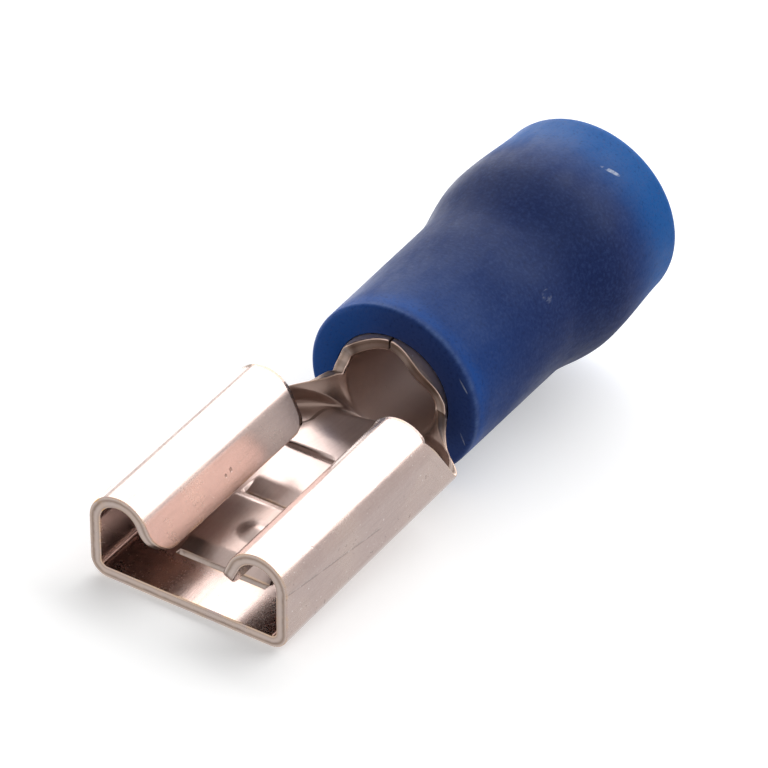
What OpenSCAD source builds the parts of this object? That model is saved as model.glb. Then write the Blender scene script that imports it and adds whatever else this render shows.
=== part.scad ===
// Insulated female spade terminal for a 4.8 x 0.8 mm tab and 1.5 to 2.5 mm2 wire.
// It is built along +Y, mouth first, and is then laid down as it rests on a table:
// on the front edge of its floor and on the front edge of its sleeve.

/* [Receptacle] */
// Outside width of the receptacle
rec_w = 5.8; // [4.8:0.1:7.2]
// Height over the rolled lips
rec_h = 2.6; // [2.3:0.05:3.2]
// Thickness of the sheet
sheet_t = 0.32; // [0.24:0.01:0.4]
// Length of the rolled lips
lip_len = 6.45; // [5.3:0.05:8]
// Outside radius of the rolled lips
roll_r = 0.88; // [0.7:0.01:1.1]
// Angle that each lip is rolled through
roll_angle = 155; // [140:1:165]
// Height of the gap between the floor and the edge of a lip
lip_gap = 0.75; // [0.6:0.05:0.9]
// Outside radius of the bends beside the floor
bend_r = 0.5; // [0.42:0.01:0.7]
// Corner radius of each lip at the mouth
lip_front_r = 0.8; // [0.4:0.05:1]
// Corner radius of each lip at its back end
lip_back_r = 0.45; // [0.2:0.05:0.8]

/* [Spring floor] */
// Distance from the mouth to the first slot
pad_y = 1.42; // [1:0.02:1.8]
// Length of the raised pad, with its ramps
pad_len = 2.75; // [2.2:0.05:3.4]
// Width of the raised pad
pad_w = 2.6; // [2:0.1:3.2]
// Height of the raised pad
pad_rise = 0.16; // [0.08:0.01:0.2]
// Length of the ramp at the front of the pad
pad_front = 0.42; // [0.2:0.02:0.6]
// Length of the ramp at the back of the pad
pad_back = 0.28; // [0.2:0.02:0.6]
// Width of the slot at each end of the pad
slot_w = 0.16; // [0.08:0.02:0.3]
// Radius of the locking dimple
dimple_r = 0.55; // [0.4:0.05:0.8]
// Height of the locking dimple
dimple_h = 0.15; // [0.1:0.01:0.2]
// Length of the coined relief behind the pad
relief_len = 0.62; // [0.4:0.02:0.8]
// Depth of the coined relief behind the pad
relief_depth = 0.12; // [0.05:0.01:0.16]
// Height of the stop that the tab meets
stop_h = 0.1; // [0.06:0.01:0.15]
// Length of the stop
stop_len = 0.75; // [0.5:0.05:0.95]

/* [Neck] */
// Length of the neck between the lips and the barrel
neck_len = 2.45; // [2.2:0.05:3]
// How far the floor and its corners run on before they turn
shoulder_len = 1.05; // [0.8:0.05:1.2]
// Angle round the barrel, from below, that the neck walls turn to
neck_angle = 100; // [85:1:105]
// Length over which the neck edges climb to the seam
climb_len = 0.3; // [0.25:0.05:0.6]

/* [Barrel] */
// Bore of the wire barrel
barrel_bore = 2.7; // [2.2:0.05:3.2]
// Length of the wire barrel
barrel_len = 5; // [4.2:0.1:5.8]
// Height of the barrel's axis over the underside of the floor
axis_z = 0.94; // [0.8:0.02:1.4]
// Width of the butt seam along the top of the barrel
seam_w = 0.06; // [0.03:0.01:0.1]

/* [Sleeve] */
// Distance from the front of the barrel to the front of the sleeve
sleeve_setback = 0.35; // [0.1:0.05:0.6]
// Length of the sleeve
sleeve_len = 10; // [8.3:0.1:12]
// Outside diameter at the front of the sleeve
front_d = 5; // [4.6:0.1:6]
// Outside diameter where the bell begins
waist_d = 5.12; // [4.6:0.02:6.2]
// Largest outside diameter of the bell
bell_d = 5.9; // [5.6:0.1:7.2]
// Outside diameter at the wire end
end_d = 5.6; // [5.4:0.1:6.8]
// Distance from the front of the sleeve to the largest diameter of the bell
bell_at = 7.1; // [6.6:0.1:8]
// Bore that takes the insulation of the wire
wire_bore = 4.3; // [3.6:0.1:4.6]
// Radial gap between the barrel and the sleeve
sleeve_fit = 0.02; // [0.01:0.01:0.05]
// Length of the cone between the two bores of the sleeve
cone_len = 1; // [0.5:0.1:1.6]
// Radius round the outer edge of the wire end
rim_r = 0.3; // [0.15:0.05:0.4]
// Radius round the outer edge of the front end
nose_r = 0.14; // [0.08:0.02:0.2]

/* [Hidden] */
$fn = 96;
slip = 0.005;                             // inset that keeps a joined skin inside its neighbour
over = 1;                                 // how far a cutter runs past what it cuts

roll_x = rec_w / 2 - roll_r;              // centre of the right-hand roll
roll_z = rec_h - roll_r;
lip_tip_z = sheet_t + lip_gap + sheet_t * sin(roll_angle);
lip_flat = (roll_z + roll_r * sin(roll_angle) - lip_tip_z) / -cos(roll_angle);
lip_lean = 180 - roll_angle;              // lean of the flat of a lip from upright

barrel_r = barrel_bore / 2 + sheet_t;
barrel_y = lip_len + neck_len;
barrel_end = barrel_y + barrel_len;
sleeve_y = barrel_y + sleeve_setback;
bell_start = barrel_end - sleeve_y;       // the bell begins where the barrel ends
total_len = sleeve_y + sleeve_len;

pad_z = sheet_t + pad_rise;               // top of the pad
pad_from = pad_y + slot_w;
pad_to = pad_from + pad_len;
dimple_y = (pad_from + pad_front + pad_to - pad_back) / 2;
dimple_ball = (dimple_r * dimple_r + dimple_h * dimple_h) / (2 * dimple_h);

// Length of the sheet from the middle of the floor to the top of a neck wall
floor_half = rec_w / 2 - bend_r;
bend_end = floor_half + bend_r * PI / 2;
wall_end = bend_end + roll_z - bend_r;
neck_roll = 33;                           // angle of the roll that the neck wall begins at
neck_path = wall_end + roll_r * neck_roll * PI / 180;
seam_angle = 178;                         // angle round the barrel where the neck edges meet
turn_margin = 0.2;                        // how far before the barrel the neck walls have turned

function ease(v) = let (c = min(1, max(0, v))) c * c * (3 - 2 * c);
function mix(a, b, k) = a * (1 - k) + b * k;

// Point [x, z] of the receptacle's section, a length d along the sheet from its middle and at a
// depth t into the sheet from its outside
function box_at(d, t) =
    d < floor_half ? [d, t]
    : d < bend_end ? let (a = (d - floor_half) / bend_r * 180 / PI)
        [floor_half + (bend_r - t) * sin(a), bend_r - (bend_r - t) * cos(a)]
    : d < wall_end ? [rec_w / 2 - t, bend_r + d - bend_end]
    : let (a = (d - wall_end) / roll_r * 180 / PI)
        [roll_x + (roll_r - t) * cos(a), roll_z + (roll_r - t) * sin(a)];

// Point [x, z] of the barrel's section, at an angle from below and a depth t
function barrel_at(a, t) = [(barrel_r - t) * sin(a), axis_z - (barrel_r - t) * cos(a)];

// Along the skin m runs from 0 at its middle to 1 at its edge. The floor and its corners run on
// before they turn; up the wall the turn starts sooner, so the fold slants from edge to corner.
function delay(m) = m < 0.56 ? 1 : pow(sin(180 * pow(m, 1.2)), 2);
function turn_from(m) = lip_len + sheet_t / 2 + shoulder_len * delay(m);
function turn_to(m) = barrel_y - turn_margin * (1 - 0.85 * delay(m));
function turn(m, y) = ease((y - turn_from(m)) / (turn_to(m) - turn_from(m)));
function reach(y) = mix(neck_angle, seam_angle, ease((y - barrel_y) / climb_len + 0.87));

// Point of the neck at a depth t: the deeper skin turns sooner, so the sheet keeps its thickness
function skin(s, y, t) =
    let (m = abs(s), k = turn(m, y + t / 2), p = mix(box_at(m * neck_path, t), barrel_at(m * reach(y), t), k))
    [sign(s) * p.x, y, p.y];

// Columns of the skin crowd into its bends, and its rows follow the line where it starts to turn
function spread(a, b, n) = [for (i = [1:n]) a + (b - a) * i / n];
right_cols = concat(spread(0, floor_half, 5), spread(floor_half, bend_end, 6),
    spread(bend_end, wall_end, 4), spread(wall_end, neck_path, 3)) / neck_path;
left_cols = [for (i = [len(right_cols) - 1:-1:0]) -right_cols[i]];
neck_cols = concat(left_cols, [0], right_cols);
neck_rows = concat([0], spread(0, 1, 3), spread(1, 2, 16), spread(2, 3, 12));
neck_from = lip_len - 0.1;
neck_to = barrel_y + 0.15;
function row_y(v, m, t) = let (from = turn_from(m) - t / 2, to = turn_to(m) - t / 2)
    v < 1 ? mix(neck_from, from, v) : v < 2 ? mix(from, to, v - 1) : mix(to, neck_to, v - 2);
function layer(t) = [for (v = neck_rows, s = neck_cols) skin(s, row_y(v, abs(s), t), t)];

// Outside radius of the sleeve at a distance d from its front
function sleeve_r(d) = (
    d < bell_start ? mix(front_d, waist_d, d / bell_start)
    : d < bell_at ? mix(waist_d, bell_d, swell((d - bell_start) / (bell_at - bell_start)))
    : mix(bell_d, end_d, swell((d - bell_at) / (sleeve_len - bell_at)))
) / 2;
function swell(v) = (1 - cos(180 * v)) / 2;
bell_stations = [for (i = [0:30]) bell_start + (sleeve_len - rim_r - bell_start) * i / 30];

// Lying at rest, the floor's front edge and the lowest edge of the sleeve touch the table together
lie_angle = max([for (d = concat([nose_r], bell_stations)) atan((sleeve_r(d) - axis_z) / (sleeve_y + d))]);
front_reach = rec_h * sin(lie_angle);
back_reach = total_len * cos(lie_angle) + (end_d / 2 - rim_r - axis_z) * sin(lie_angle);
middle_y = (back_reach - front_reach) / 2;

module at_rest() {
    translate([0, -middle_y, 0]) rotate([lie_angle, 0, 0]) children();
}

// Extrudes an [x, z] outline along Y, or a [y, z] outline across X
module along_y(from, len) {
    translate([0, from + len, 0]) rotate([90, 0, 0]) linear_extrude(len) children();
}
module across_x(width) {
    rotate([90, 0, 90]) linear_extrude(width, center = true) children();
}
module both_sides() {
    children();
    mirror([1, 0, 0]) children();
}

// Outline of the floor, its bends and the walls, filled in to the outside less an inset
module tub_outline(inset) {
    r = bend_r - inset;
    half = rec_w / 2 - inset;
    union() {
        translate([-half, bend_r]) square([2 * half, roll_z - bend_r]);
        translate([-half + r, inset]) square([2 * (half - r), roll_z - inset]);
        both_sides() translate([half - r, bend_r]) circle(r);
    }
}
module roll_outline() {
    far = 3 * roll_r;
    translate([roll_x, roll_z]) {
        intersection() {
            difference() {
                circle(roll_r);
                circle(roll_r - sheet_t);
            }
            polygon([[0, 0], [far, 0], [far, far], [-far, far], [-far, -far * tan(roll_angle)]]);
        }
        rotate(roll_angle) translate([roll_r - sheet_t, 0]) square([sheet_t, lip_flat]);
    }
}
module sheet_outline() {
    difference() {
        tub_outline(0);
        tub_outline(sheet_t);
    }
    both_sides() roll_outline();
}

// Cutter for one corner of the right-hand lip, from the lip's free edge upwards
module lip_corner(r) {
    tip = [roll_x + (roll_r - sheet_t / 2) * cos(roll_angle) - lip_flat * sin(roll_angle),
           roll_z + (roll_r - sheet_t / 2) * sin(roll_angle) + lip_flat * cos(roll_angle)];
    translate([tip.x, 0, tip.y]) rotate([0, lip_lean, 0])
        rotate([90, 0, 90]) linear_extrude(2 * sheet_t, center = true) difference() {
            translate([-over / 4, -over / 4]) square(r + over / 4);
            translate([r, r]) circle(r);
        }
}
module lip_corners() {
    both_sides() {
        lip_corner(lip_front_r);
        translate([0, lip_len, 0]) mirror([0, 1, 0]) lip_corner(lip_back_r);
    }
}

// The spring pad is sheared free at its two ends, raised and dimpled
module pad_window() {
    translate([-pad_w / 2, pad_y, -over]) cube([pad_w, pad_len + 2 * slot_w, over + sheet_t + slip]);
    across_x(pad_w) polygon([
        [pad_to, sheet_t - relief_depth], [pad_to + slot_w, sheet_t - relief_depth],
        [pad_to + slot_w + relief_len, sheet_t], [pad_to + slot_w + relief_len, sheet_t + slip],
        [pad_to, sheet_t + slip]
    ]);
}
module dimple(drop) {
    translate([0, dimple_y, pad_z + dimple_h - dimple_ball - drop]) sphere(dimple_ball);
}
module spring_pad() {
    difference() {
        union() {
            across_x(pad_w + 2 * slip) polygon([
                [pad_from, 0], [pad_from + pad_front, pad_rise], [pad_to - pad_back, pad_rise], [pad_to, 0],
                [pad_to, sheet_t], [pad_to - pad_back, pad_z], [pad_from + pad_front, pad_z],
                [pad_from, sheet_t]
            ]);
            intersection() {
                dimple(0);
                translate([-dimple_ball, dimple_y - dimple_ball, pad_z - sheet_t / 2])
                    cube([2 * dimple_ball, 2 * dimple_ball, sheet_t]);
            }
        }
        intersection() {
            dimple(sheet_t);
            translate([-dimple_ball, dimple_y - dimple_ball, 0])
                cube([2 * dimple_ball, 2 * dimple_ball, pad_z]);
        }
    }
}
module tab_stop() {
    y = lip_len + 0.08;
    top = sheet_t + stop_h;
    across_x(pad_w) polygon([
        [y, sheet_t / 2], [y, top], [y + stop_len, top], [y + stop_len + 3 * stop_h, sheet_t / 2]
    ]);
}
module receptacle() {
    difference() {
        along_y(0, lip_len) sheet_outline();
        lip_corners();
        pad_window();
    }
    spring_pad();
}

// The neck is one skin that turns from the open box of the receptacle into the round barrel
module neck() {
    n = len(neck_cols);
    rows = len(neck_rows);
    shift = n * rows;
    last = n * (rows - 1);
    points = concat(layer(slip), layer(sheet_t - slip));
    out_in = [for (j = [0:rows - 2], i = [0:n - 2]) let (a = j * n + i) each [
        [a, a + 1, a + n + 1], [a, a + n + 1, a + n],
        [a + shift, a + shift + n + 1, a + shift + 1], [a + shift, a + shift + n, a + shift + n + 1]
    ]];
    edges = [for (j = [0:rows - 2]) let (a = j * n, b = j * n + n - 1) each [
        [a, a + n, a + n + shift], [a, a + n + shift, a + shift],
        [b, b + shift, b + n + shift], [b, b + n + shift, b + n]
    ]];
    ends = [for (i = [0:n - 2]) let (a = i, b = last + i) each [
        [a, a + shift, a + shift + 1], [a, a + shift + 1, a + 1],
        [b, b + shift + 1, b + shift], [b, b + 1, b + shift + 1]
    ]];
    polyhedron(points, concat(out_in, edges, ends));
}
module barrel() {
    difference() {
        along_y(barrel_y, barrel_len) translate([0, axis_z]) difference() {
            circle(barrel_r);
            circle(barrel_bore / 2);
        }
        translate([-seam_w / 2, barrel_y - over, axis_z]) cube([seam_w, barrel_len + 2 * over, 2 * barrel_r]);
    }
}

module crimp_terminal() {
    color([0.83, 0.8, 0.77]) at_rest() {
        receptacle();
        tab_stop();
        neck();
        barrel();
    }
}

module insulating_sleeve() {
    snug = barrel_r + sleeve_fit;
    bead = 0.1;                           // lead-in at the front bore and at the wire end
    nose = [for (a = [0:15:90]) [sleeve_r(0) - nose_r + nose_r * sin(a), nose_r * (1 - cos(a))]];
    rim = [for (a = [0:15:90])
        [sleeve_r(sleeve_len) - rim_r + rim_r * cos(a), sleeve_len - rim_r + rim_r * sin(a)]];
    bores = [
        [wire_bore / 2 + 2 * bead, sleeve_len], [wire_bore / 2, sleeve_len - 3 * bead],
        [wire_bore / 2, bell_start + cone_len], [snug, bell_start],
        [snug, bead], [snug + bead / 2, 0]
    ];
    color([0.12, 0.22, 0.48]) at_rest() translate([0, sleeve_y, axis_z]) rotate([-90, 0, 0])
        rotate_extrude() polygon(concat(nose, [for (d = bell_stations) [sleeve_r(d), d]], rim, bores));
}

crimp_terminal();
insulating_sleeve();
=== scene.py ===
"""Looks of the insulated female spade terminal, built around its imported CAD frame.

Both pieces are built in millimetres along the part's own axis, +Y, with the mouth at the
origin. They are then laid down as the CAD lays them down, and each stands for one CAD node.
"""
import math
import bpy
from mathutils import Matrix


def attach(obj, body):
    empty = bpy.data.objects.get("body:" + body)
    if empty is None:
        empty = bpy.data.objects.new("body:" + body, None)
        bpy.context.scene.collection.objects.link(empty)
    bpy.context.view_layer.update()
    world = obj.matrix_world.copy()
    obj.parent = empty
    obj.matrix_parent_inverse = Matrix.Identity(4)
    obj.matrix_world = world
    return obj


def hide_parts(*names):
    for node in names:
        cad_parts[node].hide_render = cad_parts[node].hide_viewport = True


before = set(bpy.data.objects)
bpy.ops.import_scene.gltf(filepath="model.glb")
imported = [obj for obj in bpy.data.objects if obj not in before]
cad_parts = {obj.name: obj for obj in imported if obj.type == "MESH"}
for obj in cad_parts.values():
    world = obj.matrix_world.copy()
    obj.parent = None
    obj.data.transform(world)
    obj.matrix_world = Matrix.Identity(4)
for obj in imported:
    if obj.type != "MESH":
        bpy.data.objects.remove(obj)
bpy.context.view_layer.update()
from types import SimpleNamespace
import bpy
import numpy as np
from mathutils import Matrix, Quaternion, Vector

MM = 0.001

# ---------------------------------------------------------------- sizes in mm, as in the construction

# receptacle
REC_W, REC_H = 5.8, 2.6                 # width over the walls, height over the rolled lips
T = 0.32                                # thickness of the sheet
LIP_LEN = 6.45
ROLL_R, ROLL_ANGLE = 0.88, math.radians(155)
LIP_GAP = 0.75                          # gap for the tab, between the floor and the edge of a lip
BEND_R = 0.5                            # outside radius of the bends beside the floor
LIP_FRONT_R, LIP_BACK_R = 0.8, 0.45     # corner radii of a lip
# spring floor
PAD_Y, PAD_LEN, PAD_W, PAD_RISE = 1.42, 2.75, 2.6, 0.16
PAD_FRONT, PAD_BACK = 0.42, 0.28        # lengths of the pad's ramps
SLOT_W = 0.16                           # width of the slot at each end of the pad
DIMPLE_R, DIMPLE_H = 0.55, 0.15
RELIEF_LEN, RELIEF_DEPTH = 0.62, 0.12   # the coined relief behind the pad
STOP_LEN, STOP_H = 0.75, 0.1            # the stop that the tab meets
# neck and barrel
NECK_LEN = 2.45
BARREL_BORE, BARREL_LEN = 2.7, 5.0
AXIS_Z = 0.94                           # height of the barrel's axis over the underside of the floor
SEAM_ANGLE = 178.9                      # angle from below, in degrees, at which the seam's edge lies
# sleeve
SETBACK, SLEEVE_LEN = 0.35, 10.0
FRONT_D, WAIST_D, BELL_D, END_D = 5.0, 5.12, 5.9, 5.6
BELL_AT = 7.1                           # distance from the sleeve's front to its largest diameter
WIRE_BORE, CONE_LEN = 4.3, 1.0
SLEEVE_FIT = 0.02                       # radial gap between the barrel and the sleeve
RIM_R, NOSE_R = 0.3, 0.14               # radii round the outer edges of the wire end and the front

ROLL_X, ROLL_Z = REC_W / 2 - ROLL_R, REC_H - ROLL_R
LIP_TIP_Z = T + LIP_GAP + T * math.sin(ROLL_ANGLE)
LIP_FLAT = (ROLL_Z + ROLL_R * math.sin(ROLL_ANGLE) - LIP_TIP_Z) / -math.cos(ROLL_ANGLE)
BARREL_R = BARREL_BORE / 2 + T
BARREL_Y = LIP_LEN + NECK_LEN
BARREL_END = BARREL_Y + BARREL_LEN
BARREL_DROP = BARREL_R - AXIS_Z         # how far the barrel hangs below the floor
SLEEVE_Y = BARREL_Y + SETBACK
BELL_START = BARREL_END - SLEEVE_Y
PAD_FROM = PAD_Y + SLOT_W
PAD_TO = PAD_FROM + PAD_LEN
DIMPLE_Y = (PAD_FROM + PAD_FRONT + PAD_TO - PAD_BACK) / 2

# lengths along the section of the sheet, from the middle of the floor
NECK_ROLL = math.radians(33)            # how far round a lip's roll the neck's skin reaches
FLOOR_HALF = REC_W / 2 - BEND_R
BEND_END = FLOOR_HALF + BEND_R * math.pi / 2
WALL_END = BEND_END + ROLL_Z - BEND_R
NECK_PATH = WALL_END + ROLL_R * NECK_ROLL
ROLL_END = WALL_END + ROLL_R * ROLL_ANGLE
LIP_END = ROLL_END + LIP_FLAT


def ease(v):
    """0 up to 0, 1 from 1 on, and a smooth step between."""
    c = np.clip(v, 0, 1)
    return c * c * (3 - 2 * c)


# ---------------------------------------------------------------- how the part lies

def sleeve_radius(d):
    """Outside radius of the sleeve at a distance d from its front."""
    d = np.asarray(d, float)
    swell = lambda v: (1 - np.cos(np.pi * v)) / 2
    tube = FRONT_D + (WAIST_D - FRONT_D) * d / BELL_START
    flare = WAIST_D + (BELL_D - WAIST_D) * swell((d - BELL_START) / (BELL_AT - BELL_START))
    close = BELL_D + (END_D - BELL_D) * swell((d - BELL_AT) / (SLEEVE_LEN - BELL_AT))
    return np.where(d < BELL_START, tube, np.where(d < BELL_AT, flare, close)) / 2


def lie_angle():
    """The part rests on the front edge of its floor and on the lowest place of its sleeve."""
    d = np.concatenate([[NOSE_R], np.linspace(BELL_START, SLEEVE_LEN - RIM_R, 31)])
    return float(np.max(np.arctan((sleeve_radius(d) - AXIS_Z) / (SLEEVE_Y + d))))


LIE = lie_angle()
FRONT_REACH = REC_H * math.sin(LIE)
BACK_REACH = (SLEEVE_Y + SLEEVE_LEN) * math.cos(LIE) + (END_D / 2 - RIM_R - AXIS_Z) * math.sin(LIE)
MIDDLE_Y = (BACK_REACH - FRONT_REACH) / 2


LAID = np.array([[1, 0, 0], [0, math.cos(LIE), -math.sin(LIE)], [0, math.sin(LIE), math.cos(LIE)]])


def lean(v):
    """Directions on the part's own axes to the frame."""
    return np.asarray(v, float) @ LAID.T


def lay_down(p):
    """Points in mm on the part's own axes to the frame, in metres."""
    return (lean(p) - (0, MIDDLE_Y, 0)) * MM


# ---------------------------------------------------------------- camera

def make_camera():
    """The photograph's view: angles and target are on the part's own axes."""
    az, el, roll = math.radians(32.47), math.radians(36.78), math.radians(-0.44)
    target, distance = np.array([0, 7.92, 1.76]), 114.1
    back = Vector((math.sin(az) * math.cos(el), -math.cos(az) * math.cos(el), math.sin(el)))
    right = Vector((math.cos(az), math.sin(az), 0))
    up = back.cross(right)
    axis_x = right * math.cos(roll) - up * math.sin(roll)
    axis_y = right * math.sin(roll) + up * math.cos(roll)
    data = bpy.data.cameras.new("photo_view")
    data.sensor_width = 36
    data.lens = 210.9
    data.shift_x, data.shift_y = 0.0261, 0.0092
    data.clip_start, data.clip_end = 0.001, 10
    cam = bpy.data.objects.new("photo_view", data)
    bpy.context.collection.objects.link(cam)
    turned = Matrix([lean(axis_x), lean(axis_y), lean(back)]).transposed()
    cam.matrix_world = Matrix.Translation(lay_down(target + np.array(back) * distance)) @ turned.to_4x4()
    bpy.context.scene.camera = cam


make_camera()

# ---------------------------------------------------------------- shape of the sheet metal

NOTCH_Y, NOTCH_D = 7.72, 3.08           # bottom of the notch behind a lip, and the path left there
# the neck's outer edge: its half width and its height, as curves through a few places along the part
EDGE_Y = [NOTCH_Y, 7.93, 8.1, 8.26, 8.6, 8.86, 9.09, 9.25]
EDGE_X = np.polyfit(EDGE_Y, [2.88, 2.65, 2.45, 2.29, 2.07, 1.92, 1.76, 1.67], 4)
EDGE_Z = np.polyfit(EDGE_Y, [0.42, 0.55, 0.67, 0.75, 0.85, 0.94, 1.03, 1.1], 3)
TIP_BACK = 1.06                         # the middle of the floor turns this much further back
TURN_LEN, TURN_MORE, TURN_SOFT = 0.42, 0.18, 1.8    # length of the turn: at the edge, and inwards
SINK_FROM = NOTCH_Y + 0.1               # where the bottom of the trough begins to sink
ROUND_Y = BARREL_Y + 0.35               # where the section is round everywhere
RIM_FROM = BARREL_Y + 0.2               # where the neck's edges begin to climb round the barrel
CLIMB_LEN = 0.28
EDGE_ANGLE = 2 * math.degrees(math.atan((np.polyval(EDGE_Z, ROUND_Y) + BARREL_DROP)
                                        / np.polyval(EDGE_X, ROUND_Y)))
SPREAD_LEAD, SPREAD_LEN = 0.1, 0.25     # the radius reaches the barrel's a little before
NECK_TO = BARREL_Y + 0.5                # where the neck's rows end and the barrel's begin
# the barrel's front rim, by the angle from below in degrees
RIM_Y = BARREL_Y + 0.24
RIM_LEAN, LEAN_AT, LEAN_WIDE = 0.28, 140, 24        # how far it leans forward, and at which angles
LEFT_BACK, LEFT_UP_TO, LEFT_FADE = 0.16, 118, 20    # how far back it lies on the left, and up to where
RIM_LOW, RIM_FADE = 96, 12              # the angle above which it is shaped, and how softly
RIM_REACH = 0.7                         # how far along the part the sheet moves with it
# softness of the floor's features
SIDE_SLOPE, SIDE_SLOPE_BACK = 0.1, 0.6
DIMPLE_CROWN = 0.8
STOP_GAP, STOP_STEP, STOP_FADE = 0.07, 0.05, 1.2
SLACK = 0.01                            # so that points on the side of a slot count as pad


def box_at(d, t):
    """[x, z] of the receptacle's section at a path length d from the middle and a depth t."""
    a = (d - FLOOR_HALF) / BEND_R
    b = (np.minimum(d, ROLL_END) - WALL_END) / ROLL_R
    e = np.maximum(d - ROLL_END, 0)
    parts = [d < FLOOR_HALF, d < BEND_END, d < WALL_END]
    x = np.select(parts, [d, FLOOR_HALF + (BEND_R - t) * np.sin(a), REC_W / 2 - t],
                  ROLL_X + (ROLL_R - t) * np.cos(b) - e * math.sin(ROLL_ANGLE))
    z = np.select(parts, [t, BEND_R - (BEND_R - t) * np.cos(a), BEND_R + d - BEND_END],
                  ROLL_Z + (ROLL_R - t) * np.sin(b) + e * math.cos(ROLL_ANGLE))
    return x, z


def half_width(y):
    """Path length to the sheet's edge behind the lips, while the section is still a box."""
    return NECK_PATH + (NOTCH_D - NECK_PATH) * np.clip((y - LIP_LEN) / (NOTCH_Y - LIP_LEN), 0, 1)


def turn_from(m):
    """Where the skin starts to turn, for a share m of the way from the middle to the edge."""
    return NOTCH_Y + TIP_BACK * (1 - m)


def turn(m, y):
    """How far the box section has opened out into the neck's arc."""
    length = TURN_LEN + TURN_MORE * (1 - m) + TURN_SOFT * m * (1 - m)
    return ease((y - turn_from(m)) / length)


def trough(m, y, t):
    """The neck's section, an arc from the bottom to its edge, that ends as the round barrel."""
    n = np.clip(y, NOTCH_Y, ROUND_Y)
    ex, ez = np.polyval(EDGE_X, n), np.polyval(EDGE_Z, n)
    low = -BARREL_DROP * ease((n - SINK_FROM) / (ROUND_Y - SINK_FROM))
    to_edge = 2 * np.degrees(np.arctan((ez - low) / ex))
    angle = to_edge + (SEAM_ANGLE - EDGE_ANGLE) * ease((y - RIM_FROM) / CLIMB_LEN)
    r = ex / np.sin(np.radians(to_edge))
    r = r + (BARREL_R - r) * ease((y - RIM_FROM + SPREAD_LEAD) / SPREAD_LEN)
    at = m * angle
    return (r - t) * np.sin(np.radians(at)), low + r - (r - t) * np.cos(np.radians(at)), at


CLIMB_Y = np.linspace(RIM_FROM, RIM_FROM + CLIMB_LEN, 200)
CLIMB_ANGLE = trough(1.0, CLIMB_Y, 0.0)[2]


def rim_shift(angle, y, side):
    """How far the barrel's rim moves along the part.

    It leans forward beside the seam, and lower down it lies further back on the left."""
    plain = np.interp(angle, CLIMB_ANGLE, CLIMB_Y)
    want = RIM_Y - RIM_LEAN * np.exp(-((angle - LEAN_AT) / LEAN_WIDE) ** 2)
    want = want + LEFT_BACK * (side < 0) * (1 - ease((angle - LEFT_UP_TO) / LEFT_FADE))
    return (want - plain) * ease((angle - RIM_LOW) / RIM_FADE) * (1 - ease(np.abs(y - plain) / RIM_REACH))


def row_place(w, m, t):
    """Y of a row of the skin: plain along the receptacle and the barrel, and along the line
    where the neck begins its turn between them."""
    v = w - LIP_LEN
    begin = turn_from(m) - t / 2
    shoulder = LIP_LEN + (begin - LIP_LEN) * v
    opening = begin + (RIM_FROM - begin) * (v - 1)
    closing = RIM_FROM + (NECK_TO - RIM_FROM) * (v - 2)
    return np.select([v < 0, v < 1, v < 2, v < 3], [w, shoulder, opening, closing], NECK_TO + v - 3)


def round_corner(d, w):
    """Rounds the free corners of a lip: a square of the skin turns into a quarter disc."""
    for r, at_front in ((LIP_FRONT_R, True), (LIP_BACK_R, False)):
        a = (d - (LIP_END - r)) / r
        b = 1 - (w if at_front else LIP_LEN - w) / r
        hit = (a > 0) & (b > 0) & (w <= LIP_LEN)
        big, small = np.maximum(a, b), np.minimum(a, b)
        phi = np.where(a >= b, 1.0, -1.0) * small / np.where(big == 0, 1, big) * math.pi / 4
        phi = np.where(a >= b, phi, math.pi / 2 + phi)
        from_end = r - r * big * np.sin(phi)
        d = np.where(hit, LIP_END - r + r * big * np.cos(phi), d)
        w = np.where(hit, from_end if at_front else LIP_LEN - from_end, w)
    return d, w


def floor_lift(x, y, t):
    """How far the pad, its dimple, the relief and the tab stop raise the floor's skin."""
    slope = np.where(y > LIP_LEN, SIDE_SLOPE_BACK, SIDE_SLOPE)
    side = 1 - ease((np.abs(x) - PAD_W / 2) / slope)
    front = np.clip((y - PAD_FROM) / PAD_FRONT, 0, 1)
    back = np.clip((PAD_TO - y) / PAD_BACK, 0, 1)
    on_pad = (y > PAD_FROM - SLACK) & (y < PAD_TO + SLACK)
    pad = PAD_RISE * np.minimum(front, back) * side * on_pad
    from_dimple = np.sqrt(x ** 2 + (y - DIMPLE_Y) ** 2)
    pad = pad + DIMPLE_CROWN * DIMPLE_H * (1 - ease(from_dimple / DIMPLE_R))
    behind = y > PAD_TO + SLOT_W / 2
    relief = -RELIEF_DEPTH * np.clip(1 - (y - PAD_TO - SLOT_W) / RELIEF_LEN, 0, 1) * behind * side
    rise = ease((y - LIP_LEN - STOP_GAP) / STOP_STEP)
    stop = STOP_H * rise * (1 - ease((y - LIP_LEN - STOP_LEN) / STOP_FADE)) * side
    return pad + (relief + stop) * t / T


def skin(u, w, t):
    """Point of the sheet, in mm, at a signed path length u, a row w and a depth t.

    Depth 0 is the outside of the sheet and T is its inside."""
    u, w, t = np.broadcast_arrays(np.asarray(u, float), np.asarray(w, float), np.asarray(t, float))
    d, side = np.abs(u), np.sign(u)
    d, w = round_corner(d, w)
    m = np.minimum(d / NECK_PATH, 1)
    y = row_place(w, m, t)
    in_neck = w > LIP_LEN
    k = turn(m, y + t / 2 * in_neck) * in_neck
    bx, bz = box_at(np.where(in_neck, m * half_width(y), d), t)
    rx, rz, angle = trough(m, y, t)
    x, z = bx * (1 - k) + rx * k, bz * (1 - k) + rz * k
    y = y + rim_shift(angle, y, side) * (w > LIP_LEN + 1)
    z = z + floor_lift(x, y, t) * (d < FLOOR_HALF) * (w < LIP_LEN + 2)
    return np.stack([side * x, y, z], -1)


# ---------------------------------------------------------------- mesh of the sheet metal

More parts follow.
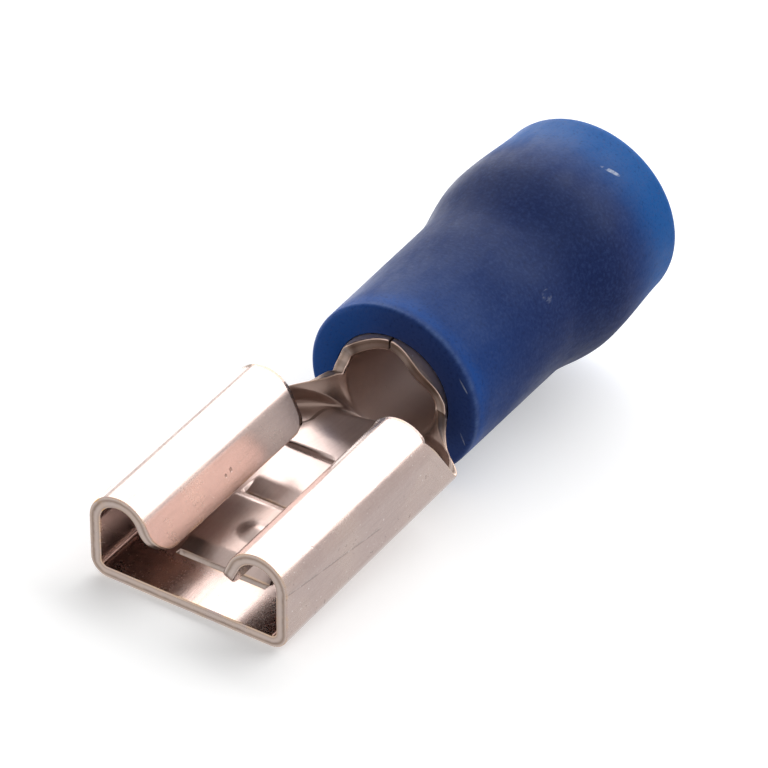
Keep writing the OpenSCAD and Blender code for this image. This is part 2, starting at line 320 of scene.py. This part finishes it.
FILLET = 0.035                          # rounding of the sheared edges
MITRE = 0.4                             # keeps a sharp corner of the outline from being drawn out far
NUDGE = 1e-4                            # half step for the slopes of the skin
UV_SPAN = 20                            # mm of sheet along each side of the uv square


def steps(first, *spans):
    """Stations from first through the ends of spans: (end, how many steps to it)."""
    out = [first]
    for end, n in spans:
        out += list(out[-1] + (end - out[-1]) * np.arange(1, n + 1) / n)
    return np.array(out)


def unit(v):
    """Vectors scaled to length 1."""
    return v / np.maximum(np.linalg.norm(v, axis=-1, keepdims=True), 1e-12)


def stop_row(y):
    """Row of the skin that lies at y on the middle of the floor, just behind the lips."""
    return LIP_LEN + (y - LIP_LEN) / (float(turn_from(0.0)) - T / 2 - LIP_LEN)


def sheet_grid():
    """Rows and columns of the sheet, and which of its cells hold metal."""
    half = steps(0, (0.6, 12), (PAD_W / 2, 7), (PAD_W / 2 + SIDE_SLOPE, 3), (FLOOR_HALF, 7), (BEND_END, 9),
                 (WALL_END, 8), (NECK_PATH, 5), (ROLL_END, 20), (LIP_END - LIP_FRONT_R, 2), (LIP_END, 9))
    cols = np.concatenate([-half[:0:-1], half])
    rows = steps(0, (LIP_FRONT_R, 9), (PAD_Y, 6), (PAD_FROM, 1), (PAD_FROM + PAD_FRONT, 7),
                 (DIMPLE_Y - DIMPLE_R, 5), (DIMPLE_Y + DIMPLE_R, 22), (PAD_TO - PAD_BACK, 5), (PAD_TO, 6),
                 (PAD_TO + SLOT_W, 1), (PAD_TO + SLOT_W + RELIEF_LEN, 8), (LIP_LEN - LIP_BACK_R, 8),
                 (LIP_LEN, 6), (stop_row(LIP_LEN + STOP_GAP), 1),
                 (stop_row(LIP_LEN + STOP_GAP + STOP_STEP), 4), (LIP_LEN + 1, 12), (LIP_LEN + 2, 40),
                 (LIP_LEN + 3, 24), (LIP_LEN + 3 + BARREL_END - NECK_TO, 16))
    along, across = (rows[1:] + rows[:-1]) / 2, np.abs(cols[1:] + cols[:-1]) / 2
    along, across = along[:, None], across[None]
    on = ~((along > LIP_LEN) & (across > NECK_PATH))
    for slot in (PAD_Y, PAD_TO):
        on &= ~((along > slot) & (along < slot + SLOT_W) & (across < PAD_W / 2))
    return rows, cols, on


def sheet_layers(rows, cols):
    """Points and normals of the sheet's outside and inside."""
    w, u = np.meshgrid(rows, cols, indexing="ij")
    points, normals = [], []
    for t, sign in ((0.0, -1.0), (T, 1.0)):
        points.append(skin(u, w, t))
        along_u = skin(u + NUDGE, w, t) - skin(u - NUDGE, w, t)
        along_w = skin(u, w + NUDGE, t) - skin(u, w - NUDGE, t)
        normals.append(sign * unit(np.cross(along_u, along_w)))
    return points, normals


def sheet_outline(on):
    """Directed edges round the metal, which lies on their left."""
    padded = np.pad(on, 1)
    # for each side of a cell: the neighbour beyond it, and the side's two ends
    sides = (((-1, 0), (0, 0), (0, 1)), ((0, 1), (0, 1), (1, 1)),
             ((1, 0), (1, 1), (1, 0)), ((0, -1), (1, 0), (0, 0)))
    edges = []
    for j, i in np.argwhere(on).tolist():
        for (dj, di), (aj, ai), (bj, bi) in sides:
            if not padded[j + 1 + dj, i + 1 + di]:
                edges.append(((j + aj, i + ai), (j + bj, i + bi)))
    return edges


def outward(edges, points, normals):
    """At each node of the outline, on both sides of the sheet, the way out of the metal."""
    after = {a: b for a, b in edges}
    before = {b: a for a, b in edges}
    out = [{}, {}]
    for k, sign in ((0, -1), (1, 1)):
        p, up = points[k], normals[k] * sign
        for node in after:
            into, onward = p[node] - p[before[node]], p[after[node]] - p[node]
            a, b = unit(np.cross(into, up[node])), unit(np.cross(onward, up[node]))
            out[k][node] = (a + b) / max(1 + float(a @ b), MITRE)
    return out


def build_terminal():
    """Vertices, normals, faces, materials, uvs and vertex values of the stamped sheet."""
    rows, cols, on = sheet_grid()
    points, normals = sheet_layers(rows, cols)
    edges = sheet_outline(on)
    out = outward(edges, points, normals)
    used = np.zeros((len(rows), len(cols)), bool)
    for dj in (0, 1):
        for di in (0, 1):
            used[dj:len(rows) - 1 + dj, di:len(cols) - 1 + di] |= on
    verts, vert_normals, index = [], [], {}

    def add(key, p, n):
        index[key] = len(verts)
        verts.append(p)
        vert_normals.append(n)

    for k in (0, 1):
        for node in map(tuple, np.argwhere(used).tolist()):
            inset = FILLET * out[k][node] if node in out[k] else 0
            add((k, node), points[k][node] - inset, normals[k][node])
    bands = np.radians([30, 60, 90])    # round the edge, from each side of the sheet
    for node in out[0]:
        for q, a in enumerate(bands):
            for k in (0, 1):
                o, n = out[k][node], normals[k][node]
                p = points[k][node] - FILLET * ((1 - math.sin(a)) * o + (1 - math.cos(a)) * n)
                add(("rim", k, q, node), p, unit(math.cos(a) * n + math.sin(a) * unit(o)))
    faces, mats = [], []
    for j, i in np.argwhere(on).tolist():
        a, b, c, d = (j, i), (j, i + 1), (j + 1, i + 1), (j + 1, i)
        faces.append([index[1, a], index[1, b], index[1, c], index[1, d]])
        faces.append([index[0, a], index[0, d], index[0, c], index[0, b]])
        mats += [0, 0]
    order = range(len(bands))

    def chain(node):
        """The vertices across the edge at a node, from the inside of the sheet to the outside."""
        inner = [index["rim", 1, q, node] for q in order]
        outer = [index["rim", 0, q, node] for q in reversed(order)]
        return [index[1, node]] + inner + outer + [index[0, node]]

    for a, b in edges:
        here, there = chain(a), chain(b)
        for s in range(len(here) - 1):
            faces.append([there[s], here[s], here[s + 1], there[s + 1]])
            mats.append(1 if s == len(bands) else 0)
    uv = [(0.5 + cols[key[-1][1]] / UV_SPAN, float(points[1][key[-1]][1]) / UV_SPAN) for key in index]
    edge = [1.0 if key[-1] in out[0] else 0.0 for key in index]
    through = [1.0 if key[0] == 0 or key[:2] == ("rim", 0) else 0.0 for key in index]
    return np.array(verts), np.array(vert_normals), faces, mats, uv, {"edge": edge, "through": through}


def mesh_object(name, verts, normals, faces, mats=None, uv=None, values=None):
    """A piece from points in mm on the part's own axes, laid down."""
    mesh = bpy.data.meshes.new(name)
    mesh.from_pydata(lay_down(verts).tolist(), [], faces)
    mesh.polygons.foreach_set("use_smooth", [True] * len(faces))
    if mats is not None:
        mesh.polygons.foreach_set("material_index", mats)
    if uv is not None:
        layer = mesh.uv_layers.new(name="sheet")
        corners = np.empty(len(mesh.loops), int)
        mesh.loops.foreach_get("vertex_index", corners)
        layer.data.foreach_set("uv", np.array(uv)[corners].ravel())
    for key, numbers in (values or {}).items():
        mesh.attributes.new(key, "FLOAT", "POINT").data.foreach_set("value", numbers)
    mesh.update()
    if normals is not None:
        mesh.normals_split_custom_set_from_vertices(lean(normals).tolist())
    obj = bpy.data.objects.new(name, mesh)
    bpy.context.collection.objects.link(obj)
    return obj


# ---------------------------------------------------------------- shape of the sleeve

AROUND = 176                            # sides round the sleeve
WIRE_LEAD, FRONT_LEAD = 0.15, 0.03      # rounding of the bores' mouths


def build_sleeve():
    """A turned profile of (radius, distance), from the front round the outside and back inside."""
    wire_r, end_r, snug = WIRE_BORE / 2, END_D / 2 - RIM_R, BARREL_R + SLEEVE_FIT
    profile = []
    for a in np.radians(np.linspace(0, 90, 7)):
        profile.append((FRONT_D / 2 - NOSE_R + NOSE_R * math.sin(a), NOSE_R * (1 - math.cos(a))))
    for d in np.linspace(NOSE_R + 0.3, BELL_START - 0.2, 12):
        profile.append((float(sleeve_radius(d)), d))
    for d in np.linspace(BELL_START, SLEEVE_LEN - RIM_R, 40):
        profile.append((float(sleeve_radius(d)), d))
    for a in np.radians(np.linspace(10, 90, 9)):
        profile.append((end_r + RIM_R * math.cos(a), SLEEVE_LEN - RIM_R + RIM_R * math.sin(a)))
    for a in np.radians(np.linspace(0, 90, 6)):
        profile.append((wire_r + WIRE_LEAD * (1 - math.sin(a)), SLEEVE_LEN - WIRE_LEAD * (1 - math.cos(a))))
    for d in np.linspace(SLEEVE_LEN - 0.5, BELL_START + CONE_LEN + 0.1, 12):
        profile.append((wire_r, d))
    for v in np.linspace(0, 1, 9):
        profile.append((wire_r + (snug - wire_r) * float(ease(v)), BELL_START + CONE_LEN * (1 - v)))
    for d in np.linspace(BELL_START - 0.4, 0.3, 8):
        profile.append((snug, d))
    for a in np.radians(np.linspace(0, 90, 4)):
        profile.append((snug + FRONT_LEAD * (1 - math.cos(a)), FRONT_LEAD * (1 - math.sin(a))))
    profile.append((FRONT_D / 2 - NOSE_R - 0.2, 0.0))
    radius, along = np.array(profile).T
    angle = 2 * np.pi * np.arange(AROUND) / AROUND
    x, z = np.outer(radius, np.cos(angle)), np.outer(radius, np.sin(angle)) + AXIS_Z
    y = np.repeat(along[:, None] + SLEEVE_Y, AROUND, 1)
    faces = []
    for j in range(len(profile)):
        here, there = j * AROUND, (j + 1) % len(profile) * AROUND
        for i in range(AROUND):
            k = (i + 1) % AROUND
            faces.append([here + i, here + k, there + k, there + i])
    return np.stack([x, y, z], -1).reshape(-1, 3), faces


# ---------------------------------------------------------------- materials

class Nodes:
    """Short names for the shader nodes that a material or the world is made of."""

    def __init__(self, owner):
        owner.use_nodes = True
        self.owner = owner
        self.tree = owner.node_tree
        self.bsdf = self.tree.nodes.get("Principled BSDF")

    def node(self, kind, **props):
        n = self.tree.nodes.new("ShaderNode" + kind)
        for k, v in props.items():
            setattr(n, k, v)
        return n

    def put(self, socket, v):
        if isinstance(v, (int, float, tuple)):
            socket.default_value = v
        else:
            self.tree.links.new(v, socket)

    def math(self, op, a, b=0.0):
        n = self.node("Math", operation=op)
        self.put(n.inputs[0], a)
        self.put(n.inputs[1], b)
        return n.outputs[0]

    def add(self, a, b):
        return self.math("ADD", a, b)

    def sub(self, a, b):
        return self.math("SUBTRACT", a, b)

    def mul(self, a, *rest):
        for b in rest:
            a = self.math("MULTIPLY", a, b)
        return a

    def most(self, a, *rest):
        for b in rest:
            a = self.math("MAXIMUM", a, b)
        return a

    def off(self, a, place=0.0):
        """Distance from a place."""
        return self.math("ABSOLUTE", self.sub(a, place))

    def place(self, scale, turn=0.0, shift=(0.0, 0.0, 0.0), uv=False):
        """Coordinates on the object in metres, or on the sheet's uv square, scaled."""
        src = self.node("UVMap", uv_map="sheet") if uv else self.node("TexCoord")
        m = self.node("Mapping")
        m.inputs["Location"].default_value = shift
        m.inputs["Rotation"].default_value = (turn, 0, 0)
        m.inputs["Scale"].default_value = scale
        self.put(m.inputs["Vector"], src.outputs["UV" if uv else "Object"])
        return m.outputs[0]

    def split(self, v):
        n = self.node("SeparateXYZ")
        self.put(n.inputs[0], v)
        return n.outputs

    def noise(self, v, scale, detail=3.0, rough=0.55):
        n = self.node("TexNoise")
        self.put(n.inputs["Vector"], v)
        n.inputs["Scale"].default_value = scale
        n.inputs["Detail"].default_value = detail
        n.inputs["Roughness"].default_value = rough
        return n.outputs["Fac"]

    def step(self, v, lo, hi, a=0.0, b=1.0):
        """A smooth step from a, where v is lo, to b, where v is hi."""
        n = self.node("MapRange", interpolation_type="SMOOTHSTEP")
        for i, x in enumerate((v, lo, hi, a, b)):
            self.put(n.inputs[i], x)
        return n.outputs[0]

    def over(self, base, colour, amount):
        """Lays a colour over a base by an amount from 0 to 1."""
        n = self.node("Mix", data_type="RGBA")
        self.put(n.inputs["Factor"], amount)
        for i, c in ((6, base), (7, colour)):
            self.put(n.inputs[i], (*c, 1) if isinstance(c, tuple) else c)
        return n.outputs[2]

    def ramp(self, v, *stops):
        n = self.node("ValToRGB")
        n.color_ramp.interpolation = "B_SPLINE"
        while len(n.color_ramp.elements) < len(stops):
            n.color_ramp.elements.new(0.5)
        for e, (at, colour) in zip(n.color_ramp.elements, stops):
            e.position, e.color = at, (*colour, 1)
        self.put(n.inputs[0], v)
        return n.outputs[0]

    def spot(self, x, y, at, half):
        """1 inside a soft oval round a place, 0 outside."""
        dx = self.mul(self.sub(x, at[0]), 1 / half[0])
        dy = self.mul(self.sub(y, at[1]), 1 / half[1])
        return self.step(self.add(self.mul(dx, dx), self.mul(dy, dy)), 1.0, 0.35)

    def value(self, name):
        """A value that the mesh carries at its vertices."""
        return self.node("Attribute", attribute_name=name).outputs["Fac"]

    def bumps(self, *layers):
        """Bumps on bumps: (height, strength, distance in mm) each."""
        normal = None
        for height, strength, distance in layers:
            n = self.node("Bump")
            n.inputs["Strength"].default_value = strength
            n.inputs["Distance"].default_value = distance * MM
            self.put(n.inputs["Height"], height)
            if normal is not None:
                self.put(n.inputs["Normal"], normal)
            normal = n.outputs[0]
        return normal

    def finish(self, colour, rough, normal):
        self.put(self.bsdf.inputs["Base Color"], colour)
        self.put(self.bsdf.inputs["Roughness"], rough)
        self.put(self.bsdf.inputs["Normal"], normal)
        return self.owner


# colours of the sheet: its tin, what shows through it, what lies on it, and painted shade for the neck and
# painted light for the barrel
TIN, TIN_WARM, TIN_PALE = (0.455, 0.352, 0.325), (0.51, 0.395, 0.355), (0.56, 0.49, 0.46)
TIN_STREAK, TIN_NECK_SHADE, TIN_PAINTED_BARREL_LIGHT = (0.37, 0.29, 0.26), (0.27, 0.185, 0.15), (0.74, 0.56, 0.48)
RUBBED, BRASS = (0.62, 0.43, 0.27), (0.60, 0.33, 0.12)
GRIME, FLECK, CUT_SHADE = (0.17, 0.12, 0.10), (0.85, 0.78, 0.74), (0.19, 0.13, 0.10)
# the sheared face, from the inside of the sheet to its outside: burnished, then torn, then pale at the
# outer corner, where a highlight is painted
CUT_BANDS_AND_HIGHLIGHT = ((0.0, (0.34, 0.26, 0.22)), (0.22, (0.52, 0.43, 0.39)), (0.5, (0.50, 0.41, 0.37)),
       (0.68, (0.22, 0.16, 0.13)), (0.8, (0.30, 0.22, 0.18)), (1.0, (0.60, 0.50, 0.45)))
# marks on the sheet: places are the path from the middle, and the distance from the mouth
NICKS = (((-7.22, 3.44), (0.07, 0.05)), ((-7.25, 3.20), (0.06, 0.045)))
SCORE_AT, SCORE_SLOPE, SCORE_END = 4.445, 0.1655, 4.15
STRIP_AT, STRIP_WIDTH = -5.05, 0.17


def sheet_fields(n):
    """Places on the sheet and the noises that both of its finishes share."""
    u, y = n.split(n.place((UV_SPAN, UV_SPAN, 1.0), uv=True))[:2]
    solid = n.place((1 / MM,) * 3)
    return SimpleNamespace(
        u=n.sub(u, UV_SPAN / 2), y=y, solid=solid,
        cloud=n.noise(solid, 0.55),
        fine=n.noise(solid, 14.0, 4.0, 0.65),
        rolled=n.noise(n.place((UV_SPAN * 9.0, UV_SPAN * 0.7, 1.0), uv=True), 1.0, 4.0, 0.6))


def sheet_colour(n, f):
    """Grey tin, warmer in patches, rubbed at the edges, with painted shade in the neck and painted light in
    the barrel.
    """
    tint = n.over(TIN, TIN_WARM, n.step(f.cloud, 0.36, 0.66))
    tint = n.over(tint, TIN_PALE, n.mul(n.step(f.fine, 0.42, 0.70), 0.25))
    tint = n.over(tint, TIN_STREAK, n.mul(n.step(f.rolled, 0.45, 0.7), 0.28))
    rub = n.mul(n.value("edge"), n.step(n.noise(f.solid, 2.2), 0.38, 0.62))
    tint = n.over(tint, RUBBED, n.mul(rub, 0.55))
    # painted shade: the sides of the neck's trough are darkened where shade falls
    neck_shade = n.mul(n.step(f.y, 7.5, 8.1), n.step(f.y, 9.3, 8.8), n.step(n.off(f.u), 1.1, 2.6))
    tint = n.over(tint, TIN_NECK_SHADE, n.mul(neck_shade, 0.75))
    # painted light: the barrel is made much paler than the tin, standing in for light inside it
    return n.over(tint, TIN_PAINTED_BARREL_LIGHT, n.mul(n.step(f.y, 8.7, 9.3), 0.85))


def sheet_marks(n, f, tint):
    """Lays the marks over the colour, and returns it with how deep they are."""
    # the dotted line scored along the right wall
    line = n.off(n.add(f.u, n.mul(f.y, SCORE_SLOPE)), SCORE_AT)
    dots = n.step(n.noise(f.solid, 3.0, 2.0), 0.36, 0.48, 0.25, 1.0)
    ends = n.mul(n.step(f.y, -0.1, 0.1), n.step(f.y, SCORE_END + 0.1, SCORE_END - 0.1))
    score = n.mul(n.step(line, 0.034, 0.008), dots, ends)
    nicks = n.most(*[n.spot(f.u, f.y, at, half) for at, half in NICKS])
    wall = n.mul(n.step(f.u, 2.6, 3.1), n.step(f.u, 5.4, 4.7))
    pits = n.mul(n.step(n.noise(f.solid, 6.0, 2.0, 0.5), 0.70, 0.76), n.add(n.mul(wall, 0.8), 0.12))
    deep = n.most(n.mul(score, 0.8), pits, nicks)
    tint = n.over(tint, GRIME, n.mul(deep, 0.42))
    tint = n.over(tint, FLECK, n.mul(n.step(n.noise(f.solid, 9.0, 1.0), 0.70, 0.78), wall, 0.5))
    # brass shows where the tin is rubbed thin on the far side of the left lip
    strip = n.mul(n.step(n.off(f.u, STRIP_AT), STRIP_WIDTH, 0.06), n.step(f.y, 4.6, 3.0))
    return n.over(tint, BRASS, n.mul(strip, 0.7)), deep


def cut_colour(n, f, tint):
    """The sheared face: banded through the sheet, with a painted highlight at its outer corner, ragged, and
    darkened by painted shade in the neck.
    """
    tear = n.noise(f.solid, 5.0)
    through = n.add(n.value("through"), n.mul(n.sub(tear, 0.5), 0.22))
    tint = n.over(tint, n.ramp(through, *CUT_BANDS_AND_HIGHLIGHT), n.step(tear, 0.3, 0.7, 0.75, 1.0))
    return n.over(tint, CUT_SHADE, n.step(f.y, 7.6, 8.5, 0.0, 0.62))


def metal_material(name, sheared):
    """Bright tin over brass: satin, with the grain of the rolled strip and a few marks."""
    n = Nodes(bpy.data.materials.new(name))
    f = sheet_fields(n)
    tint, deep = sheet_marks(n, f, sheet_colour(n, f))
    if sheared:
        tint = cut_colour(n, f, tint)
    rough = n.add(n.step(f.cloud, 0.3, 0.7, 0.16, 0.22), n.mul(n.step(f.fine, 0.35, 0.7), 0.05))
    on_floor = n.mul(n.step(n.off(f.u), 2.8, 2.2), n.step(f.y, 0.9, 1.6))
    rough = n.add(rough, n.mul(on_floor, 0.09))
    rough = n.add(rough, n.mul(n.step(f.y, 7.2, 8.2), 0.16))
    rough = n.add(rough, n.mul(f.rolled, 0.2 if sheared else 0.06))
    normal = n.bumps((f.fine, 0.10, 0.005), (f.rolled, 0.12, 0.010), (n.sub(1.0, deep), 0.5, 0.02),
                     (f.cloud, 0.15, 0.05))
    n.bsdf.inputs["Metallic"].default_value = 1
    return n.finish(tint, rough, normal)


# the vinyl along the sleeve, from its front to its wire end, with painted light bright at the front and at
# the wire end, and painted shadow darkest round the bell
VINYL_AND_PAINTED_LIGHT = ((0.0, (0.007, 0.080, 0.36)), (0.07, (0.006, 0.030, 0.15)), (0.35, (0.007, 0.020, 0.10)),
         (0.70, (0.006, 0.013, 0.070)), (0.80, (0.005, 0.025, 0.135)), (0.90, (0.004, 0.09, 0.33)))
VINYL_FRONT_SHADE, VINYL_PALE, VINYL_DEEP = (0.020, 0.038, 0.145), (0.03, 0.055, 0.17), (0.003, 0.006, 0.035)
VINYL_RUBBED, SCUFFED = (0.10, 0.17, 0.36), (0.45, 0.50, 0.62)


def scuffs(n, x, d, z, rub):
    """Light scuffs at the front rim, beside it, and on the bell, as an amount."""
    on_front = n.mul(n.step(d, 0.35, 0.15), n.step(x, 0.5, 1.0))
    chip = n.spot(n.add(x, n.mul(z, 0.64)), z, (3.38, 1.94), (0.035, 0.22))
    streak = n.spot(n.add(x, n.mul(z, 0.43)), z, (2.27, 0.27), (0.03, 0.2))
    front = n.mul(n.most(chip, n.mul(streak, 0.6)), on_front, n.step(rub, 0.32, 0.58, 0.25, 0.8))
    scrape = n.spot(n.add(x, n.mul(d, 0.55)), n.add(d, n.mul(x, -0.55)), (6.13, 7.76), (0.38, 0.09))
    faint = n.mul(n.spot(x, d, (2.14, 4.1), (0.12, 0.22)), 0.35)
    side = n.mul(n.most(scrape, faint), n.step(rub, 0.44, 0.58), n.step(z, 0.9, 1.4))
    return n.most(front, side)


def vinyl_material():
    """Dark blue vinyl, with painted light at its front rim and its wire end, and painted shade round the
    bell and on the right of its front face.
    """
    n = Nodes(bpy.data.materials.new("blue_vinyl"))
    # x, distance from the sleeve's front, and height, in mm on the part's own axes
    shift = (0.0, MIDDLE_Y * math.cos(LIE) - SLEEVE_Y, -MIDDLE_Y * math.sin(LIE))
    own = n.place((1 / MM,) * 3, -LIE, shift)
    x, d, z = n.split(own)
    fine = n.noise(own, 11.0, 3.0, 0.6)
    cloud = n.noise(own, 0.45)
    rub = n.noise(n.place((3 / MM, 0.8 / MM, 3 / MM)), 1.0, 4.0, 0.7)
    # the ramp along the sleeve paints light at both ends and shadow round the bell
    along = n.add(n.mul(d, 1 / SLEEVE_LEN), n.mul(n.sub(cloud, 0.5), 0.12))
    # painted shade: the sleeve's front face darkens towards its right
    shaded = n.mul(n.step(d, 0.4, 0.1), n.step(x, -1.9, 0.6, 0.0, 0.85))
    base = n.over(n.ramp(along, *VINYL_AND_PAINTED_LIGHT), VINYL_FRONT_SHADE, shaded)
    base = n.over(base, VINYL_PALE, n.mul(n.step(fine, 0.45, 0.75), 0.5))
    base = n.over(base, VINYL_DEEP, n.mul(n.step(fine, 0.50, 0.25), 0.4))
    base = n.over(base, SCUFFED, n.mul(scuffs(n, x, d, z, rub), 0.8))
    rim = n.mul(n.step(d, 0.30, 0.12), n.step(d, 0.03, 0.10))
    base = n.over(base, VINYL_RUBBED, n.mul(rim, n.step(rub, 0.42, 0.75, 0.05, 0.5)))
    rough = n.add(n.step(cloud, 0.3, 0.7, 0.44, 0.58), n.mul(n.step(rub, 0.35, 0.7), 0.08))
    n.bsdf.inputs["Specular IOR Level"].default_value = 0.13
    n.bsdf.inputs["Specular Tint"].default_value = (0.62, 0.80, 1.0, 1)
    return n.finish(base, rough, n.bumps((fine, 0.22, 0.012), (cloud, 0.3, 0.10)))


# ---------------------------------------------------------------- the two pieces

terminal = mesh_object("stamped_terminal", *build_terminal())
terminal.data.materials.append(metal_material("tinned_sheet", False))
terminal.data.materials.append(metal_material("sheared_edge", True))
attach(terminal, "root")
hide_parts("crimp_terminal")

sleeve_verts, sleeve_faces = build_sleeve()
sleeve = mesh_object("vinyl_sleeve", sleeve_verts, None, sleeve_faces)
sleeve.data.materials.append(vinyl_material())
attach(sleeve, "root")
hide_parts("insulating_sleeve")

# ---------------------------------------------------------------- floor and light

FLOOR_HALF_WIDTH = 1.0                  # in metres
FLOOR_COLOUR = (0.8, 0.8, 0.8, 1)
FLOOR_LIFT = 0.35                       # added to what the camera sees, so that the floor is white
WORLD_LIGHT = 0.35                      # the world's strength as light; it looks white, at strength 1


def any_ray(n, *kinds):
    """1 where the ray is of one of these kinds."""
    path = n.node("LightPath")
    return n.most(*[path.outputs[kind] for kind in kinds])


def make_floor():
    """A pale floor that keeps the object's shadow and is plain white in its reflections."""
    r = FLOOR_HALF_WIDTH
    mesh = bpy.data.meshes.new("floor")
    mesh.from_pydata([(-r, -r, 0), (r, -r, 0), (r, r, 0), (-r, r, 0)], [], [(0, 1, 2, 3)])
    obj = bpy.data.objects.new("floor", mesh)
    bpy.context.collection.objects.link(obj)
    n = Nodes(bpy.data.materials.new("floor"))
    n.tree.nodes.remove(n.bsdf)
    diffuse = n.node("BsdfDiffuse")
    diffuse.inputs["Color"].default_value = FLOOR_COLOUR
    lift, white = n.node("Emission"), n.node("Emission")
    n.put(lift.inputs["Strength"], n.mul(any_ray(n, "Is Camera Ray"), FLOOR_LIFT))
    lit, seen = n.node("AddShader"), n.node("MixShader")
    n.put(lit.inputs[0], diffuse.outputs[0])
    n.put(lit.inputs[1], lift.outputs[0])
    n.put(seen.inputs[0], any_ray(n, "Is Glossy Ray", "Is Transmission Ray"))
    n.put(seen.inputs[1], lit.outputs[0])
    n.put(seen.inputs[2], white.outputs[0])
    n.put(n.tree.nodes["Material Output"].inputs[0], seen.outputs[0])
    obj.data.materials.append(n.owner)


def make_world():
    """White to the camera and in reflections, and softer as a light."""
    n = Nodes(bpy.data.worlds.new("studio"))
    bpy.context.scene.world = n.owner
    back = n.tree.nodes["Background"]
    back.inputs["Color"].default_value = (1, 1, 1, 1)
    strength = n.node("MapRange")
    strength.inputs["To Min"].default_value = WORLD_LIGHT
    strength.inputs["To Max"].default_value = 1.0
    n.put(strength.inputs["Value"], any_ray(n, "Is Camera Ray", "Is Glossy Ray", "Is Transmission Ray"))
    n.put(back.inputs["Strength"], strength.outputs[0])


def area_light(name, at, aim, size, radiance, roll=0.0):
    """A soft box whose face has the given radiance; at, aim and size in mm in the frame."""
    data = bpy.data.lights.new(name, "AREA")
    data.shape = "RECTANGLE"
    data.size, data.size_y = size[0] * MM, size[1] * MM
    data.energy = radiance * data.size * data.size_y * math.pi
    obj = bpy.data.objects.new(name, data)
    bpy.context.collection.objects.link(obj)
    at, aim = Vector(at) * MM, Vector(aim) * MM
    obj.location = at
    obj.rotation_mode = "QUATERNION"
    obj.rotation_quaternion = (at - aim).to_track_quat("Z", "Y") @ Quaternion((0, 0, 1), math.radians(roll))
    obj.visible_camera = False


def aimed(azimuth, elevation, distance, at):
    """A point in a direction from another: azimuth 0 is +Y and 90 is +X, in degrees."""
    a, e = math.radians(azimuth), math.radians(elevation)
    away = (math.sin(a) * math.cos(e), math.cos(a) * math.cos(e), math.sin(e))
    return tuple(p + distance * v for p, v in zip(at, away))


TARGET = (0, 0, 2)                      # a point in the middle of the part, near the floor

make_floor()
make_world()
area_light("soft_box", at=aimed(-3, 42, 150, TARGET), aim=TARGET, size=(356, 126), radiance=3.3, roll=-12)
area_light("low_card", at=(-42, 26, 0.5), aim=(-42, 26, 20), size=(70, 70), radiance=2.2)

scene = bpy.context.scene
scene.view_settings.view_transform = "Standard"
